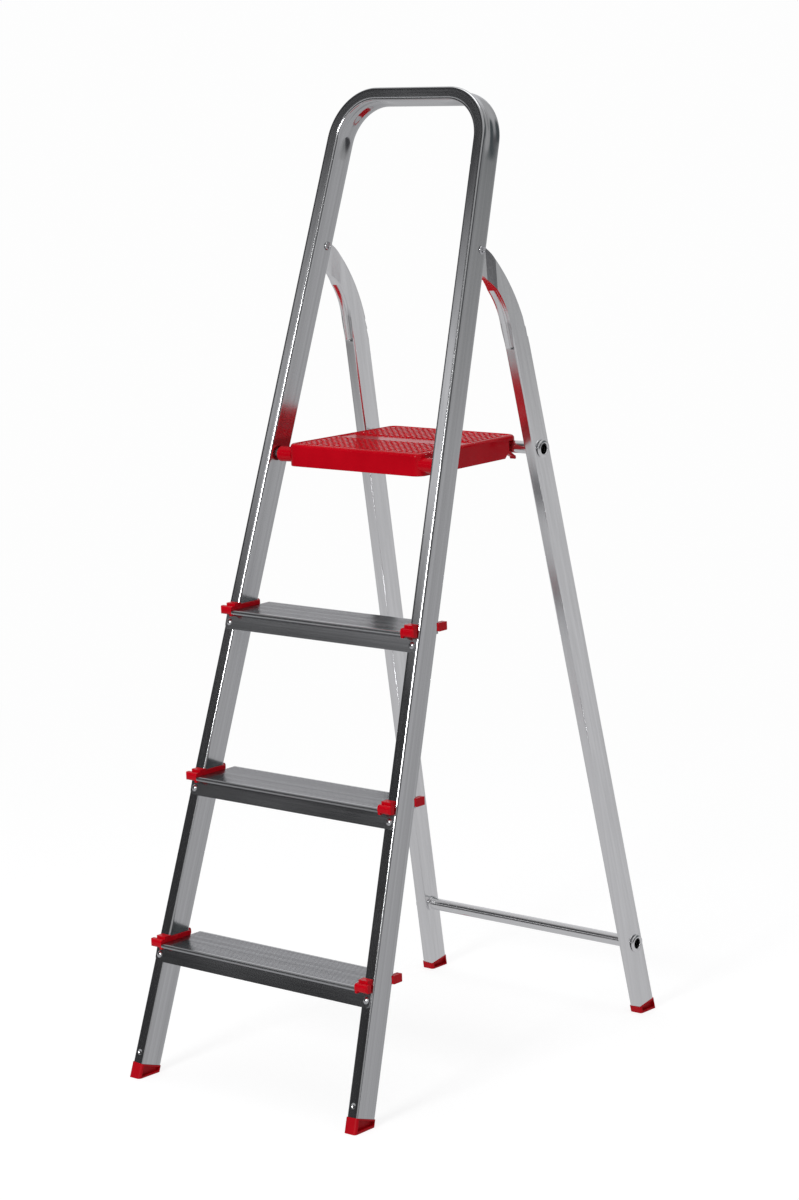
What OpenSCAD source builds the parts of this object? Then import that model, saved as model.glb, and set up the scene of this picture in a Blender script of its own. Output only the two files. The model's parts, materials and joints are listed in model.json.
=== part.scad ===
// Folding aluminium step ladder with a moulded platform and a hoop handrail.
// Sizes in millimetres, +Z up. The climbing side faces -Y, the rear legs stand at +Y.
// The origin is on the floor under the middle of the opened ladder.

/* [Stance] */
// Lean of the front frame from upright, degrees
front_lean = 18; // [12:0.5:24]
// Lean of the rear legs from upright, degrees
rear_lean = 10.3; // [6:0.1:16]
// Splay of each side tube and leg, degrees
splay = 2.9; // [0:0.1:5]
// Outside width of the front frame at the floor
base_w = 430; // [360:5:520]
// Length of the front frame along its slope, floor to bow top
frame_len = 1446; // [1300:2:1600]
// Height of the platform top above the floor
platform_h = 880; // [800:5:960]
// Rise from one tread to the next
tread_rise = 230; // [200:5:255]

/* [Front frame tube] */
// Width of the side tube, across the ladder
stile_w = 19; // [16:0.5:25]
// Depth of the side tube, front to back
stile_d = 38; // [32:1:46]
// Wall of the side tube
stile_wall = 1.6; // [1.2:0.1:2.4]
// Corner radius of the side tube
stile_r = 3; // [2:0.5:5]
// Radius of the bow's bends on the tube's centre line
bow_r = 67.5; // [55:0.5:110]
// Depth of the pressed grooves in the walls of the bends
bend_dent = 3; // [1:0.5:4]
// Width of the groove in the outer wall of each bend
dent_out_w = 26; // [18:1:30]
// Width of the groove in the inner wall of each bend
dent_in_w = 22; // [16:1:24]
// Height of the square cut at the front of each side tube, above the floor
stile_cut_h = 21; // [18:0.5:30]
// Distance of the punch mark above the tube's lower end
mark_up = 14; // [8:1:30]
// Diameter of the punch mark
mark_d = 7; // [4:0.5:10]

/* [Top pivot] */
// Position of the leg pivot along the slope from the floor
pivot_up = 1220; // [1150:1:1260]
// Depth of the leg pivot behind the frame's front face
pivot_in = 28; // [24:0.5:30]
// Diameter of the pivot rivet's shank
pivot_d = 8; // [6:0.5:10]
// Diameter of the pivot rivet's heads
pivot_head_d = 12.5; // [12:0.5:18]
// Height of the pivot rivet's heads
pivot_head_h = 3; // [2:0.5:4]
// Length of slot above the pivot in the tube's rear wall
slot_up = 11; // [9:0.5:16]
// Length of slot below the pivot in the tube's rear wall
slot_down = 68; // [60:1:90]

/* [Rear legs] */
// Width of the leg tube, across the ladder
leg_w = 19; // [16:0.5:22]
// Depth of the leg tube, front to back
leg_d = 34; // [28:1:40]
// Wall of the leg tube
leg_wall = 1.5; // [1.2:0.1:2.2]
// Corner radius of the leg tube
leg_r = 3; // [2:0.5:5]
// Distance of the leg's centre line behind the pivot
leg_off = 48; // [46:0.5:54]
// Radius of the leg's top bend on its centre line
leg_bend_r = 248; // [220:1:280]
// Turn of the leg's top bend, degrees
leg_turn = 36; // [32:0.5:40]
// Distance of the bend's start below the pivot
leg_bend_at = 157; // [150:1:170]
// Radius of the inner wall where the bend is pressed in
leg_press_r = 110; // [90:1:140]
// Distance below the pivot where the pressed inner wall starts to curve
leg_press_at = 115; // [105:1:130]
// Depth of the groove in the leg's pressed inner wall
leg_dent = 4.5; // [3:0.5:5]
// Thickness of the flattened tongue at the top of the leg
tongue_t = 9; // [7:0.5:11]
// Depth over which the leg's side walls close in to the tongue
tongue_taper = 16; // [10:1:22]
// Height of the square cut at the front of each leg, above the floor
leg_cut_h = 9.5; // [8:0.5:16]

/* [Crossbars] */
// Outside diameter of the round crossbars
bar_d = 18; // [14:1:20]
// Wall of the crossbars
bar_wall = 1.5; // [1:0.1:2.5]
// Diameter of the rolled flare at each bar end
flare_d = 26; // [22:1:28]
// Length of the rolled flare
flare_l = 3.5; // [2.5:0.5:6]
// Diameter of the bead against the leg's inner face
bead_d = 23; // [20:1:26]
// Length of the bead
bead_l = 3; // [2:0.5:5]
// Height of the lower crossbar's centre above the floor
low_bar_h = 108; // [80:1:160]

/* [Treads] */
// Depth of a tread, nose to rear edge
tread_depth = 80; // [76:1:100]
// Overhang of the nose in front of the side tube, at the tread's top
nose_over = 17; // [14:0.5:24]
// Thickness of the tread's top plate
tread_t = 2.6; // [2:0.1:4]
// Radius of the tread's nose bead
nose_r = 3.2; // [2.5:0.1:4.5]
// Drop of the front fascia below the tread's top
fascia_drop = 29; // [26:1:34]
// Thickness of the tread's walls
tread_wall = 2; // [1.5:0.1:3]
// Drop of the tread's rear flange
flange_drop = 16; // [10:1:24]
// Distance between the lengthwise grooves
groove_pitch = 4.2; // [3:0.1:8]
// Width of the lengthwise grooves
groove_w = 1.6; // [1:0.1:3]
// Depth of the lengthwise grooves
groove_h = 0.7; // [0.3:0.1:1.2]
// Gap between the fascia's end and the tube's outer edge
fascia_in = 3; // [2:0.5:8]
// Corner radius at the lower ends of the fascia
fascia_r = 7; // [3:0.5:9]
// Drop of the tread rivets below the tread's top
rivet_drop = 19.5; // [17:0.5:20]
// Diameter of the tread rivets' shank
rivet_d = 4.8; // [4:0.2:6]
// Diameter of the tread rivets' head
rivet_head_d = 10; // [8:0.5:12]
// Height of the tread rivets' head
rivet_head_h = 2.4; // [1.5:0.1:3]

/* [Tread end pieces] */
// Thickness of the strip against the side tube's inner face
end_t = 2; // [1.5:0.5:4]
// Height of the strip above the tread's top
end_up = 6; // [4:0.5:10]
// Height of the step in front of the side tube, above the tread's top
step_up = 8.5; // [6:0.5:12]
// Depth of the strip below the tread's top
end_down = 8.5; // [6:0.5:10]
// Height of the knobs above the tread's top
knob_up = 5; // [4:0.5:6]
// Overall height and depth of the knobs
knob_h = 12; // [10:0.5:12.5]
// Size of the knobs' outer corners
knob_r = 3.5; // [2:0.5:4.5]
// Width of the rear knob, inward from the side tube's outer face
knob_w = 7; // [5:0.5:12]
// Reach of the rear knob behind the side tube
knob_back = 19; // [12:0.5:20]
// Length of the lug that plugs into the tread
lug_l = 16; // [8:1:30]

/* [Platform] */
// Width of the platform at its front edge
plat_front_w = 250; // [210:1:260]
// Width of the platform at its rear edge
plat_rear_w = 237; // [200:1:250]
// Height of the platform's skirt
plat_skirt = 32; // [28:1:40]
// Setback of the platform's front face behind the frame's front plane
plat_setback = 2; // [0:0.5:10]
// Corner radius of the platform in plan
plat_r = 14; // [8:1:22]
// Thickness of the platform's top
plat_top_t = 4; // [3:0.5:6]
// Thickness of the platform's skirt walls
plat_wall = 3; // [2.5:0.5:5]
// Thickness of the rear lip that rests on the upper crossbar
lip_t = 7.7; // [6:0.1:10]
// Reach of the rear lip past the crossbar's centre
lip_reach = 8; // [4:0.5:12]
// Gap between the skirt's rear end and the crossbar
mouth_gap = 4.5; // [3:0.5:8]
// Width of the smooth strip across the platform
strip_w = 28; // [16:1:40]
// Depth of the smooth strip below the studded fields
strip_h = 1.2; // [0.6:0.1:2]
// Margin of the strip and the fields inside the platform's edge
field_in = 9; // [6:0.5:16]
// Thickness of the stiffening ribs under the platform
rib_t = 2.2; // [1.6:0.1:4]
// Height of the stiffening ribs
rib_h = 18; // [10:1:24]
// Number of ribs from front to back
rib_n = 5; // [3:1:9]

/* [Platform hinge and latch] */
// Drop of the hinge pins below the platform's top
pin_drop = 17; // [15:0.5:20]
// Diameter of the hinge pins
pin_d = 8; // [6:0.5:10]
// Diameter of the collar between ear and side tube
collar_d = 15; // [12:0.5:18]
// Radius of the hinge ears
ear_r = 11; // [9:0.5:12]
// Length of pin inside the ear
pin_in = 20; // [14:1:30]
// Gap from the ear to the side tube's inner face
ear_gap = 3.8; // [3:0.1:6]
// Length of the latch fingers under the upper crossbar
finger_l = 17; // [12:0.5:22]
// Thickness of the latch fingers
finger_t = 2.6; // [2:0.1:4]
// Width of the latch fingers
finger_w = 9; // [6:0.5:14]

/* [Feet] */
// How far the foot caps stand out past the tubes
foot_lip = 1.2; // [0.6:0.1:2]
// Length of the plug inside the tube
foot_plug = 26; // [18:1:40]
// Depth of the wedge-shaped recess in the sides of the feet
foot_recess = 5; // [1:0.5:7]

/* [Clearances] */
// Gap between pieces that sit against each other
seat = 0.1; // [0.05:0.01:0.2]
// Radial running clearance of a pin or rivet in its bore
run = 0.08; // [0.03:0.01:0.1]
// Gap between curved faces of different moving pieces
rest_gap = 0.4; // [0.3:0.05:0.8]
// Side clearance of the tongue in the slot
slot_gap = 2.6; // [1:0.1:3]

/* [View] */
// Sub-part to draw

/* [Hidden] */
$fn = 64;
far = 2000;
eps = 0.02;

// front frame, in its own plane: X across, Y into the tube from its front face, Z up the slope
half_w = base_w / 2;
mid0 = half_w - stile_w / 2 / cos(splay);
function mid_x(a) = mid0 - tan(splay) * a;
function in_x(a) = half_w - stile_w / cos(splay) - tan(splay) * a;
bow_a = frame_len - stile_w / 2 - bow_r;
bow_x = mid_x(bow_a) - bow_r / cos(splay);
side_len = (bow_a + bow_r * sin(splay)) / cos(splay);
cut_s = stile_cut_h / cos(front_lean) / cos(splay);
// the straight tube reaches this far into the bends, whose section is a hair thinner
bend_lap = 1;
bend_thin = 0.05;
function world_y(a, d) = a * sin(front_lean) + d * cos(front_lean);
function world_z(a, d) = a * cos(front_lean) - d * sin(front_lean);
// slope position of the front face at a height
function a_at(z) = z / cos(front_lean);
function front_y(z) = z * tan(front_lean);

// pivot and rear leg, in the leg's own plane: Z up the leg, Y rearward, from the pivot
piv_y = world_y(pivot_up, pivot_in);
piv_z = world_z(pivot_up, pivot_in);
piv_x = mid_x(pivot_up);
function leg_y(y, z) = piv_y + y * cos(rear_lean) - z * sin(rear_lean);
function leg_z(y, z) = piv_z + y * sin(rear_lean) + z * cos(rear_lean);
function leg_at(y, h) = (h - piv_z - y * sin(rear_lean)) / cos(rear_lean);
leg_front = leg_off - leg_d / 2;
leg_rear = leg_off + leg_d / 2;
leg_bot = leg_at(leg_front, leg_cut_h);
bend_y = leg_off - leg_bend_r;
bend_z = -leg_bend_at;
tip_y = bend_y + leg_bend_r * cos(leg_turn);
tip_z = bend_z + leg_bend_r * sin(leg_turn);
// pivot seen from the bend's end: along the tongue and across it
tip_up = tip_y * sin(leg_turn) - tip_z * cos(leg_turn);
tip_out = -tip_y * cos(leg_turn) - tip_z * sin(leg_turn);
tip_r = leg_d / 2 - tip_out;
press_y = leg_front - leg_press_r;
press_z = -leg_press_at;
mark_z = 7 - leg_bend_at;
// crease where the side walls meet the flat tongue
crease_y = stile_d - pivot_in + 3.6;
crease_tilt = 10;

// crossbars
bar_r = bar_d / 2;
up_bar_h = platform_h - lip_t - rest_gap - bar_r;
up_bar_s = leg_at(leg_off, up_bar_h);
low_bar_s = leg_at(leg_off, low_bar_h);
up_bar_y = leg_y(leg_off, up_bar_s);
function leg_mid_x(s) = piv_x - tan(splay) * s;
bar_hole = bar_r + seat;
face_gap = flare_d / 2 * tan(splay) + seat;

// treads
low_tread = platform_h - 3 * tread_rise;
fascia_back = -seat;
fascia_top = (end_down + 0.6) / cos(front_lean);

// platform
plat_y = front_y(platform_h) + plat_setback;
plat_d = up_bar_y + lip_reach - plat_y;
skirt_d = up_bar_y - bar_r - mouth_gap - plat_y;
pin_a = (platform_h - pin_drop + stile_d / 2 * sin(front_lean)) / cos(front_lean);
pin_y = world_y(pin_a, stile_d / 2) - plat_y;
ear_x = in_x(pin_a) - ear_gap;
skirt_chamfer = 10;
side_tilt = atan((plat_front_w - plat_rear_w) / 2 / plat_d);

// middle of the footprint
y_low = -foot_lip / cos(front_lean);
y_high = leg_y(leg_rear + foot_lip, leg_at(leg_rear + foot_lip, 0));
y_mid = (y_low + y_high) / 2;

metal = [0.78, 0.79, 0.80];
steel = [0.62, 0.63, 0.65];
red = [0.78, 0.03, 0.05];

// ---------- frames of reference ----------
module in_frame() {
  translate([0, -y_mid, 0])
    rotate([-front_lean, 0, 0])
      children();
}

module in_leg() {
  translate([0, piv_y - y_mid, piv_z])
    rotate([rear_lean, 0, 0])
      children();
}

module in_platform() {
  translate([0, plat_y - y_mid, platform_h])
    children();
}

module right_tube() {
  translate([mid0, 0, 0])
    rotate([0, -splay, 0])
      children();
}

module right_leg() {
  translate([piv_x, 0, 0])
    rotate([0, -splay, 0])
      children();
}

module side(s) {
  if (s < 0)
    mirror([1, 0, 0])
      children();
  else
    children();
}

module both() {
  side(1)
    children();
  side(-1)
    children();
}

// ---------- helpers ----------
module rrect(w, d, r) {
  square([w - 2 * r, d], center = true);
  square([w, d - 2 * r], center = true);
  for (x = [-1, 1])
    for (y = [-1, 1])
      translate([x * (w / 2 - r), y * (d / 2 - r)])
        circle(r = r);
}

// cylinder along X from x0 to x1
module xcyl(r, x0, x1) {
  translate([x0, 0, 0])
    rotate([0, 90, 0])
      cylinder(r = r, h = x1 - x0);
}

// low dome, flat side at z = 0
module dome(d, h) {
  ball = (d * d / 4 + h * h) / (2 * h);
  rotate_extrude()
    intersection() {
      translate([0, h - ball])
        circle(r = ball);
      square([d, h]);
    }
}

module below_floor() {
  translate([-far / 2, -far / 2, -far])
    cube([far, far, far]);
}

// ---------- front hoop ----------
module tube_outer(s0) {
  translate([0, stile_d / 2, s0])
    linear_extrude(height = side_len - s0 + bend_lap)
      rrect(stile_w, stile_d, stile_r);
}

module bend() {
  translate([bow_x, 0, bow_a])
    rotate([90, 0, 0])
      rotate([0, 0, splay])
        rotate_extrude(angle = 90 - splay)
          translate([bow_r, -stile_d / 2])
            children();
}

// tube section in the bends, with a groove pressed into its outer and its inner wall
module bend_section() {
  difference() {
    rrect(stile_w - 2 * bend_thin, stile_d - 2 * bend_thin, stile_r);
    groove(1, dent_out_w);
    groove(-1, dent_in_w);
  }
}

module groove(m, w) {
  ball = (w * w / 4 + bend_dent * bend_dent) / (2 * bend_dent);
  translate([m * (stile_w / 2 - bend_dent + ball), 0])
    circle(r = ball);
}

module front_hoop() {
  core_w = stile_w - 2 * stile_wall;
  core_d = stile_d - 2 * stile_wall;
  core_r = max(0.6, stile_r - stile_wall);
  slim_w = core_w - 2 * bend_dent;
  slim_d = core_d - 1;
  color(metal)
    in_frame()
      difference() {
        union() {
          both() {
            right_tube()
              tube_outer(cut_s);
            bend()
              bend_section();
          }
          translate([-bow_x - bend_lap, stile_d / 2, bow_a + bow_r])
            rotate([0, 90, 0])
              linear_extrude(height = 2 * bow_x + 2 * bend_lap)
                rrect(stile_w, stile_d, stile_r);
        }
        // hollow
        both() {
          right_tube()
            translate([0, stile_d / 2, cut_s - 1])
              linear_extrude(height = side_len - cut_s + 1 + bend_lap / 2)
                rrect(core_w, core_d, core_r);
          bend()
            rrect(slim_w, slim_d, core_r);
        }
        translate([-bow_x - bend_lap / 2, stile_d / 2, bow_a + bow_r])
          rotate([0, 90, 0])
            linear_extrude(height = 2 * bow_x + bend_lap)
              rrect(core_w, core_d, core_r);
        both() {
          // slot for the rear leg's tongue
          right_tube()
            translate([-(tongue_t / 2 + slot_gap), pivot_in, pivot_up / cos(splay) - slot_down])
              cube([tongue_t + 2 * slot_gap, stile_d, slot_down + slot_up]);
          // pivot rivet
          translate([0, pivot_in, pivot_up])
            xcyl(pivot_d / 2 + seat / 2, piv_x - stile_w, piv_x + stile_w);
          // platform pin, through the inner wall only
          translate([0, stile_d / 2, pin_a])
            xcyl(pin_d / 2 + seat / 2, in_x(pin_a) - 2, in_x(pin_a) + stile_w / 2);
          // tread rivets, through the front wall only
          for (i = [0:2])
            translate([rivet_x(i), stile_wall + 1, rivet_a(i)])
              rotate([90, 0, 0])
                cylinder(r = rivet_d / 2 + seat / 2, h = stile_wall + 2);
          // punch mark near the foot
          right_tube()
            translate([0, 1, cut_s + mark_up])
              rotate([90, 0, 0])
                cylinder(r1 = mark_d / 4, r2 = mark_d / 2 + 0.3, h = 1.2);
        }
      }
}

// ---------- treads ----------
function tread_z(i) = low_tread + i * tread_rise;
function rivet_a(i) = a_at(tread_z(i) - rivet_drop);
function rivet_x(i) = mid_x(rivet_a(i));
// inner half width between the side tubes at a height, allowing for their lean
function half_in(z) = in_x(a_at(z));
function half_out(z) = half_w - tan(splay) * a_at(z);

module in_tread(i) {
  translate([0, front_y(tread_z(i)) - nose_over - y_mid, tread_z(i)])
    children();
}

// side tube as a solid bar in the tread's own frame, with a clearance
module tube_bar(i, gap) {
  translate([0, y_mid - front_y(tread_z(i)) + nose_over, -tread_z(i)])
    in_frame()
      right_tube()
        translate([0, stile_d / 2, tread_z(i) - 60])
          linear_extrude(height = 120 + tread_z(i) * 0.12)
            rrect(stile_w + 2 * gap, stile_d + 2 * gap, stile_r + gap);
}

module tread_section() {
  difference() {
    union() {
      // top plate
      translate([nose_r, -tread_t])
        square([tread_depth - nose_r, tread_t]);
      // nose bead
      translate([nose_r, -nose_r])
        circle(r = nose_r);
      // underside of the nose, back to the fascia
      polygon([
        [1.2, -nose_r - 2.2],
        [nose_r + 2, -2],
        [nose_over + 2, -2],
        [nose_over - 9 * tan(front_lean) + fascia_back, -9],
        [nose_over - 11.5 * tan(front_lean) + fascia_back, -11.5],
        [nose_over - 11.5 * tan(front_lean) + fascia_back - tread_wall, -11.5],
        [nose_over - 9 * tan(front_lean) + fascia_back - tread_wall, -8.6],
        [nose_r + 3, -5.2]
      ]);
      // rear flange with a small inward foot
      translate([tread_depth - tread_wall, -flange_drop])
        square([tread_wall, flange_drop]);
      translate([tread_depth - 7, -flange_drop])
        square([7, tread_wall]);
      // stiffener under the plate
      translate([tread_depth * 0.55, -9])
        square([tread_wall, 9]);
    }
    // grooves
    for (y = [nose_r * 2 + 0.6 : groove_pitch : tread_depth - 3])
      translate([y, -groove_h])
        square([groove_w, groove_h + 1]);
  }
}

// a YZ outline extruded along X between two planes
module along_x(x0, x1) {
  translate([x0, 0, 0])
    rotate([90, 0, 90])
      linear_extrude(height = x1 - x0)
        children();
}

module tread(i) {
  w = half_in(tread_z(i)) - end_t - seat;
  wf = half_out(tread_z(i) - fascia_drop) - fascia_in;
  color(metal)
    in_tread(i)
      difference() {
        union() {
          along_x(-w, w)
            tread_section();
          // fascia, flat on the fronts of the side tubes
          translate([0, nose_over, 0])
            rotate([-front_lean, 0, 0])
              translate([0, fascia_back, 0])
                rotate([90, 0, 0])
                  linear_extrude(height = tread_wall)
                    fascia_outline(wf);
        }
        both()
          translate([0, nose_over, 0])
            rotate([-front_lean, 0, 0])
              translate([rivet_x(i), 1, -rivet_drop / cos(front_lean)])
                rotate([90, 0, 0])
                  cylinder(r = rivet_d / 2 + seat / 2, h = tread_wall + 2);
      }
}

module fascia_outline(wf) {
  top = -fascia_top;
  bot = -fascia_drop / cos(front_lean);
  translate([-wf, bot + fascia_r])
    square([2 * wf, top - bot - fascia_r]);
  translate([-wf + fascia_r, bot])
    square([2 * (wf - fascia_r), fascia_r + 1]);
  for (s = [-1, 1])
    translate([s * (wf - fascia_r), bot + fascia_r])
      circle(r = fascia_r);
}

module tread_rivets(i) {
  color(steel)
    in_frame()
      both()
        translate([rivet_x(i), -tread_wall - 2 * seat, rivet_a(i)])
          rotate([90, 0, 0]) {
            dome(rivet_head_d, rivet_head_h);
            translate([0, 0, -tread_wall - stile_wall - 3 * seat - 3])
              cylinder(r = rivet_d / 2, h = tread_wall + stile_wall + 3 * seat + 3 + eps);
            // clenched end inside the tube
            translate([0, 0, -tread_wall - stile_wall - 3 * seat - 3.5])
              cylinder(r = rivet_d / 2 + 1.2, h = 3.4);
          }
}

// ---------- tread end pieces ----------
// block with corners rounded in the side view and chamfered in plan
module knob(x0, x1, y0, y1) {
  c = knob_r * 0.7;
  intersection() {
    along_x(x0, x1)
      translate([(y0 + y1) / 2, knob_up - knob_h / 2])
        rrect(y1 - y0, knob_h, knob_h / 2 - 1.5);
    translate([0, 0, -2 * knob_h])
      linear_extrude(height = 4 * knob_h)
        polygon([
          [x0 - 1, y0 - 1], [x1 - c, y0 - 1], [x1 - c, y0], [x1 + 1, y0 + c + 1],
          [x1 + 1, y1 - c - 1], [x1 - c, y1], [x1 - c, y1 + 1], [x0 - 1, y1 + 1]
        ]);
  }
}

module end_piece(i, s) {
  z0 = tread_z(i);
  xi = half_in(z0);
  xo = half_out(z0);
  yf = nose_over;
  yr = nose_over + stile_d / cos(front_lean);
  color(red)
    in_tread(i)
      side(s)
        difference() {
          union() {
            // strip along the side tube's inner face
            translate([xi - end_t, yf - 8, -end_down])
              cube([end_t + 4, yr - yf + 11, end_down + end_up]);
            // cover over the tread's end
            translate([xi - end_t, 1, -end_down])
              cube([end_t + 2, yr + 2, end_down]);
            // step in front of the tube
            translate([xi - end_t, yf - 8, -4])
              cube([xo - xi + end_t - 4.5, 12, 4 + step_up]);
            // step behind the tube
            translate([xi - end_t, yr - 4, -5])
              cube([xo - xi + end_t - 1, 7, 5 + end_up - 2]);
            knob(xi - end_t, xo + 1, 0.2, 0.2 + knob_h);
            knob(xo - knob_w, xo + 1, yr - 4, yr + knob_back);
            // lug plugged under the tread's top, ahead of its stiffener
            translate([xi - end_t - lug_l, nose_over + 5, -end_down])
              cube([lug_l + 1, tread_depth * 0.55 - nose_over - 6, end_down - tread_t - seat]);
          }
          tube_bar(i, seat);
        }
}

// ---------- feet ----------
module front_foot(s) {
  plug_w = stile_w - 2 * stile_wall - 2 * seat;
  plug_d = stile_d - 2 * stile_wall - 2 * seat;
  plug_r = max(0.5, stile_r - stile_wall - seat);
  drop = tan(front_lean);
  color(red)
    difference() {
      in_frame()
        side(s)
          right_tube() {
            difference() {
              translate([0, stile_d / 2, -15])
                linear_extrude(height = cut_s - seat + 15)
                  rrect(stile_w + 2 * foot_lip, stile_d + 2 * foot_lip, stile_r + foot_lip);
              // wedge-shaped recess in each side
              for (m = [-1, 1])
                translate([m * (stile_w / 2 + foot_lip), 0, 0])
                  along_x(-foot_recess, foot_recess)
                    polygon([
                      [3, 3 * drop + 3],
                      [3, cut_s - 2.5],
                      [stile_d - 2, cut_s - 2.5],
                      [stile_d - 2, (stile_d - 2) * drop + 3]
                    ]);
            }
            translate([0, stile_d / 2, cut_s - seat - 1])
              linear_extrude(height = foot_plug + 1)
                rrect(plug_w, plug_d, plug_r);
          }
      below_floor();
    }
}

module rear_foot(s) {
  plug_w = leg_w - 2 * leg_wall - 2 * seat;
  plug_d = leg_d - 2 * leg_wall - 2 * seat;
  plug_r = max(0.5, leg_r - leg_wall - seat);
  y0 = leg_front + 3;
  y1 = leg_rear - 2;
  color(red)
    difference() {
      in_leg()
        side(s)
          right_leg() {
            difference() {
              translate([0, leg_off, leg_bot / cos(splay) - 25])
                linear_extrude(height = 25 - seat)
                  rrect(leg_w + 2 * foot_lip, leg_d + 2 * foot_lip, leg_r + foot_lip);
              // wedge-shaped recess in each side
              for (m = [-1, 1])
                translate([m * (leg_w / 2 + foot_lip), 0, 0])
                  along_x(-foot_recess, foot_recess)
                    polygon([
                      [y0, leg_at(y0, 0) / cos(splay) + 2.5],
                      [y0, leg_bot / cos(splay) - 2],
                      [y1, leg_bot / cos(splay) - 2],
                      [y1, leg_at(y1, 0) / cos(splay) + 2.5]
                    ]);
            }
            translate([0, leg_off, leg_bot / cos(splay) - seat - 1])
              linear_extrude(height = foot_plug + 1)
                rrect(plug_w, plug_d, plug_r);
          }
      below_floor();
    }
}

// ---------- rear legs ----------
// arc of the top bend, about X, in the leg's plane
module leg_arc(w, d, r, off, a0, a1) {
  translate([0, bend_y, bend_z])
    rotate([90, 0, 90])
      rotate([0, 0, a0])
        rotate_extrude(angle = a1 - a0)
          translate([leg_bend_r + off, 0])
            rotate(90)
              rrect(w, d, r);
}

module leg_tongue_tip() {
  // square block across the tongue, rounded round the pivot
  translate([0, tip_y, tip_z])
    rotate([leg_turn, 0, 0])
      translate([-tongue_t / 2, 0, 0]) {
        translate([0, -leg_d / 2, -3])
          cube([tongue_t, leg_d, tip_up + 3]);
        translate([0, -leg_d / 2 + tip_r, tip_up - eps])
          cube([tongue_t, leg_d - 2 * tip_r, tip_r + eps]);
        for (y = [leg_d / 2 - tip_r, -leg_d / 2 + tip_r])
          translate([0, y, tip_up])
            xcyl(tip_r, 0, tongue_t);
      }
}

// room outside the leg's closed-in side walls
module leg_taper() {
  h = leg_w;
  for (m = [-1, 1])
    translate([0, crease_y, 0])
      rotate([-crease_tilt, 0, 0])
        linear_extrude(height = 400, center = true)
          polygon([
            [m * tongue_t / 2, -80],
            [m * tongue_t / 2, 0],
            [m * (leg_w / 2 + 0.5), tongue_taper],
            [m * h, tongue_taper],
            [m * h, -80]
          ]);
}

// room in front of the pressed inner wall: straight on from the leg, then the tighter curve
module leg_press() {
  along_x(-leg_w, leg_w) {
    translate([press_y, press_z])
      circle(r = leg_press_r);
    translate([press_y, mark_z])
      square([leg_press_r, press_z - mark_z]);
  }
}

// groove along the pressed inner wall; its curve has a hair thinner section than its foot
module leg_groove() {
  tube = leg_w * 0.42;
  translate([0, leg_front + leg_dent - tube, mark_z - 2])
    cylinder(r = tube, h = press_z - mark_z + 2 + bend_lap);
  translate([0, press_y, press_z])
    rotate([90, 0, 90])
      rotate_extrude(angle = 28)
        translate([leg_press_r + leg_dent - tube, 0])
          circle(r = tube - bend_thin);
}

module rear_leg(s) {
  core_w = leg_w - 2 * leg_wall;
  core_d = leg_d - 2 * leg_wall;
  core_r = max(0.5, leg_r - leg_wall);
  color(metal)
    in_leg()
      side(s)
        difference() {
          right_leg()
            difference() {
              union() {
                translate([0, leg_off, leg_bot / cos(splay)])
                  linear_extrude(height = bend_z - leg_bot / cos(splay))
                    rrect(leg_w, leg_d, leg_r);
                leg_arc(leg_w, leg_d, leg_r, 0, 0, leg_turn);
                leg_tongue_tip();
              }
              translate([0, leg_off, leg_bot / cos(splay) - 1])
                linear_extrude(height = bend_z - leg_bot / cos(splay) + 1)
                  rrect(core_w, core_d, core_r);
              leg_arc(core_w, core_d / 2, core_r, core_d / 4, 0, 20);
              intersection() {
                leg_taper();
                translate([-far / 2, -150, bend_z + 20])
                  cube([far, 400, 400]);
              }
              leg_press();
              leg_groove();
            }
          // pivot bore
          xcyl(pivot_d / 2 + run, piv_x - stile_w, piv_x + stile_w);
          // crossbar holes
          for (b = [up_bar_s, low_bar_s])
            translate([0, leg_off, b])
              xcyl(bar_hole, leg_mid_x(b) - 2 * leg_w, leg_mid_x(b) + 2 * leg_w);
        }
}

// ---------- crossbars ----------
module crossbar(s) {
  xm = leg_mid_x(s);
  xo = xm + leg_w / 2 / cos(splay) + face_gap;
  xi = xm - leg_w / 2 / cos(splay) - face_gap;
  end = xo + flare_l;
  color(steel)
    in_leg()
      translate([0, leg_off, s])
        rotate([0, 90, 0])
          difference() {
            union() {
              translate([0, 0, -end + eps])
                cylinder(r = bar_r, h = 2 * end - 2 * eps);
              for (m = [0, 1])
                mirror([0, 0, m]) {
                  // rolled flare outside the leg
                  translate([0, 0, xo])
                    cylinder(r = flare_d / 2, h = flare_l * 0.45);
                  translate([0, 0, xo + flare_l * 0.45])
                    cylinder(r1 = flare_d / 2, r2 = flare_d / 2 - 2, h = flare_l * 0.55);
                  // bead inside the leg
                  translate([0, 0, xi - bead_l])
                    cylinder(r = bead_d / 2, h = bead_l);
                }
            }
            translate([0, 0, -end - 1])
              cylinder(r = bar_r - bar_wall, h = 2 * end + 2);
            // countersunk mouths
            for (m = [0, 1])
              mirror([0, 0, m])
                translate([0, 0, end - 2])
                  cylinder(r1 = bar_r - bar_wall, r2 = bar_r - bar_wall + 2.1, h = 2.1);
          }
}

// ---------- pivots ----------
module pivot_rivet(s) {
  out = stile_w / 2 / cos(splay) + pivot_head_d / 2 * tan(splay) + seat;
  color(steel)
    in_frame()
      side(s)
        translate([piv_x, pivot_in, pivot_up]) {
          xcyl(pivot_d / 2, -out - eps, out + eps);
          translate([out, 0, 0])
            rotate([0, 90, 0])
              dome(pivot_head_d, pivot_head_h);
          translate([-out, 0, 0])
            rotate([0, -90, 0])
              dome(pivot_head_d, pivot_head_h);
        }
}

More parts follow.
